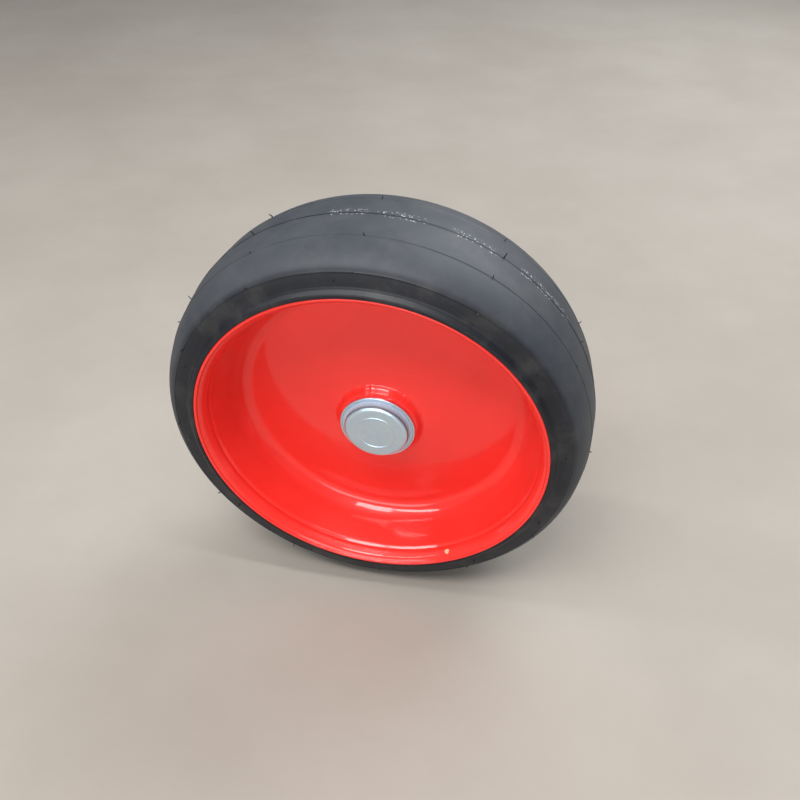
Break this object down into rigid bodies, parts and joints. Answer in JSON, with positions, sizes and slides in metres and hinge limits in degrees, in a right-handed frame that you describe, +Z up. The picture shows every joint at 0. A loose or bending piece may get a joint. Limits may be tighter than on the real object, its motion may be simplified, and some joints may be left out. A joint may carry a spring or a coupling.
{
  "type": "planter press wheel",
  "caption": "Planter press wheel: smooth crowned rubber tyre on a deep-dished welded steel rim, its hub running on sealed ball bearings behind a press-in dust cap.",
  "frame": {"origin": "the wheel's centre: on the axle's axis, in the middle plane of the tyre", "axes": "+Y along the axle towards the rear, where the axle enters; the dust cap faces -Y; +Z up"},
  "size_m": [0.3999, 0.135, 0.4],
  "materials": {
    "tyre_rubber": "matt charcoal rubber, dusty",
    "red_paint": "glossy orange-red enamel",
    "painted_weld": "glossy enamel over a rippled weld",
    "zinc_plate": "satin zinc plate",
    "spring_steel": "dark phosphated",
    "bearing_steel": "ground and polished",
    "seal_rubber": "matt",
    "cage_plastic": "glass-filled, natural",
    "turned_steel": "turned"
  },
  "bodies": {
    "axle_core": {"front_bearing_inner_ring": "bearing_steel", "rear_bearing_inner_ring": "bearing_steel", "bearing_spacer": "turned_steel"},
    "wheel": {"tyre": "tyre_rubber", "front_rim_half": "red_paint", "rear_rim_half": "red_paint", "rim_stitch_welds": "painted_weld", "hub_shell": "red_paint", "front_hub_weld": "painted_weld", "rear_hub_weld": "painted_weld", "dust_cap": "zinc_plate", "front_circlip": "spring_steel", "rear_circlip": "spring_steel", "front_bearing_outer_ring": "bearing_steel", "front_bearing_front_seal": "seal_rubber", "front_bearing_rear_seal": "seal_rubber", "rear_bearing_outer_ring": "bearing_steel", "rear_bearing_front_seal": "seal_rubber", "rear_bearing_rear_seal": "seal_rubber"},
    "front_cage": {"front_bearing_cage": "cage_plastic", "front_bearing_balls": "bearing_steel"},
    "rear_cage": {"rear_bearing_cage": "cage_plastic", "rear_bearing_balls": "bearing_steel"}
  },
  "joints": [
    {"name": "wheel_spin", "type": "hinge", "parent": "axle_core", "child": "wheel", "pos_m": [0, 0, 0], "axis": [0, 1, 0], "continuous": true},
    {"name": "front_cage_spin", "type": "hinge", "parent": "axle_core", "child": "front_cage", "pos_m": [0, 0, 0], "axis": [0, 1, 0], "continuous": true},
    {"name": "rear_cage_spin", "type": "hinge", "parent": "axle_core", "child": "rear_cage", "pos_m": [0, 0, 0], "axis": [0, 1, 0], "continuous": true}
  ],
  "couplings": [
    {"joint": "front_cage_spin", "follows": "wheel_spin", "ratio": 0.62644},
    {"joint": "rear_cage_spin", "follows": "wheel_spin", "ratio": 0.62644}
  ]
}
